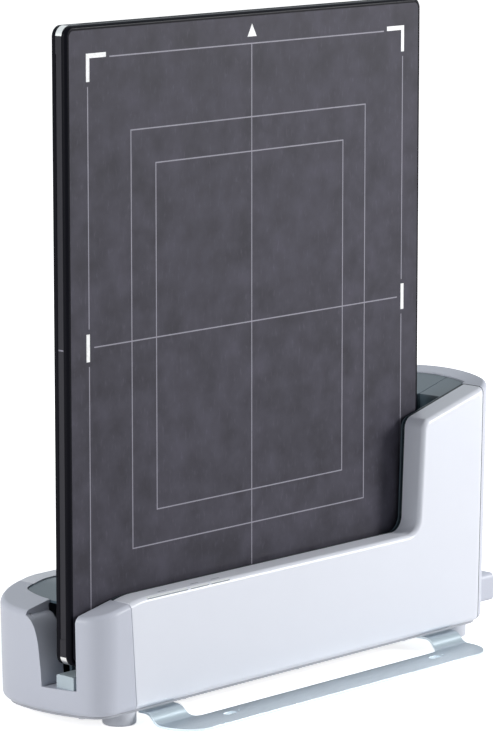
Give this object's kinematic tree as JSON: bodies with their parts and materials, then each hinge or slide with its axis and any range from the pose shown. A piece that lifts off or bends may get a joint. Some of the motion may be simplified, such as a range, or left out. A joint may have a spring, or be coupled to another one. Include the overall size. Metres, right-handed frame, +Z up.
{
  "type": "flat panel x-ray detector",
  "caption": "Thin rectangular imaging panel standing upright in the slot of a low charging cradle with a raised tower, bent metal foot plate and rubber feet.",
  "frame": {"origin": "on the floor under the middle of the whole object's box", "axes": "+X along the detector from left to right seen from the front, +Y from the front face to the back, +Z up"},
  "size_m": [0.4728, 0.1631, 0.508],
  "materials": {
    "rim_black": "satin black plastic",
    "band_dark": "dark grey painted magnesium frame",
    "guard_bright": "bright satin metal",
    "sheet_carbon": "mottled dark fibre sheet",
    "sheet_rear": "matt black sheet",
    "screw_steel": "blackened steel",
    "phosphor": "matt",
    "sensor_glass": "thin sensor glass",
    "support_metal": "machined plate",
    "circuit_green": "circuit board",
    "cell_grey": "power cell pouch",
    "ribbon_amber": "polyimide ribbon",
    "antenna_copper": "plated strip",
    "button_grey": "satin button",
    "lamp_clear": "clear lamp pipe",
    "contact_gold": "gold plated",
    "block_black": "black insulator",
    "cover_white": "satin white housing",
    "cap_grey": "light grey housing ends",
    "liner_slate": "dark slate liner",
    "rail_grey": "light grey rail",
    "pad_rubber": "soft black rubber",
    "foot_rubber": "light grey rubber",
    "tray_grey": "grey base plate",
    "plate_metal": "satin steel sheet",
    "module_black": "black module case"
  },
  "bodies": {
    "cradle": {"front_cover": "cover_white", "rear_cover": "cover_white", "left_end_cap": "cap_grey", "right_end_cap": "cap_grey", "front_liner": "liner_slate", "rear_liner": "liner_slate", "seat_rail": "rail_grey", "seat_pad_left": "pad_rubber", "seat_pad_right": "pad_rubber", "contact_block": "block_black", "lamp_lens_left": "lamp_clear", "lamp_lens_middle": "lamp_clear", "lamp_lens_right": "lamp_clear", "lamp_board": "circuit_green", "main_board": "circuit_green", "charge_board": "circuit_green", "power_module": "module_black", "network_jack": "block_black", "jack_contacts": "contact_gold", "power_inlet": "block_black", "inlet_contact": "contact_gold", "base_tray": "tray_grey", "foot_plate": "plate_metal", "foot_front_left": "foot_rubber", "foot_front_right": "foot_rubber", "foot_rear_left": "foot_rubber", "foot_rear_right": "foot_rubber", "housing_screws": "screw_steel", "foot_plate_screws": "screw_steel"},
    "detector": {"front_rim": "rim_black", "side_band": "band_dark", "rear_rim": "rim_black", "corner_guard_bottom_left": "guard_bright", "corner_guard_bottom_right": "guard_bright", "corner_guard_top_left": "guard_bright", "corner_guard_top_right": "guard_bright", "rear_screws": "screw_steel", "front_sheet": "sheet_carbon", "rear_sheet": "sheet_rear", "scintillator": "phosphor", "sensor_glass": "sensor_glass", "support_plate": "support_metal", "readout_board_left": "circuit_green", "readout_board_right": "circuit_green", "gate_board": "circuit_green", "control_board": "circuit_green", "power_cell_left": "cell_grey", "power_cell_right": "cell_grey", "antenna_strip": "antenna_copper", "flat_ribbons": "ribbon_amber", "button_switch": "block_black", "side_lamps": "lamp_clear", "contact_pads": "contact_gold", "contact_carrier": "block_black"},
    "power_button": {"power_button": "button_grey"},
    "charging_pins": {"contact_pins": "contact_gold"}
  },
  "joints": [
    {"name": "detector_lift", "type": "slide", "parent": "cradle", "child": "detector", "axis": [0, 0, 1], "range_m": [0, 0.2]},
    {"name": "button_press", "type": "slide", "parent": "detector", "child": "power_button", "axis": [1, 0, 0], "range_m": [-0.0008, 0], "stiffness_N_per_m": 500},
    {"name": "pin_press", "type": "slide", "parent": "cradle", "child": "charging_pins", "axis": [0, 0, 1], "range_m": [-0.0012, 0], "stiffness_N_per_m": 800}
  ]
}
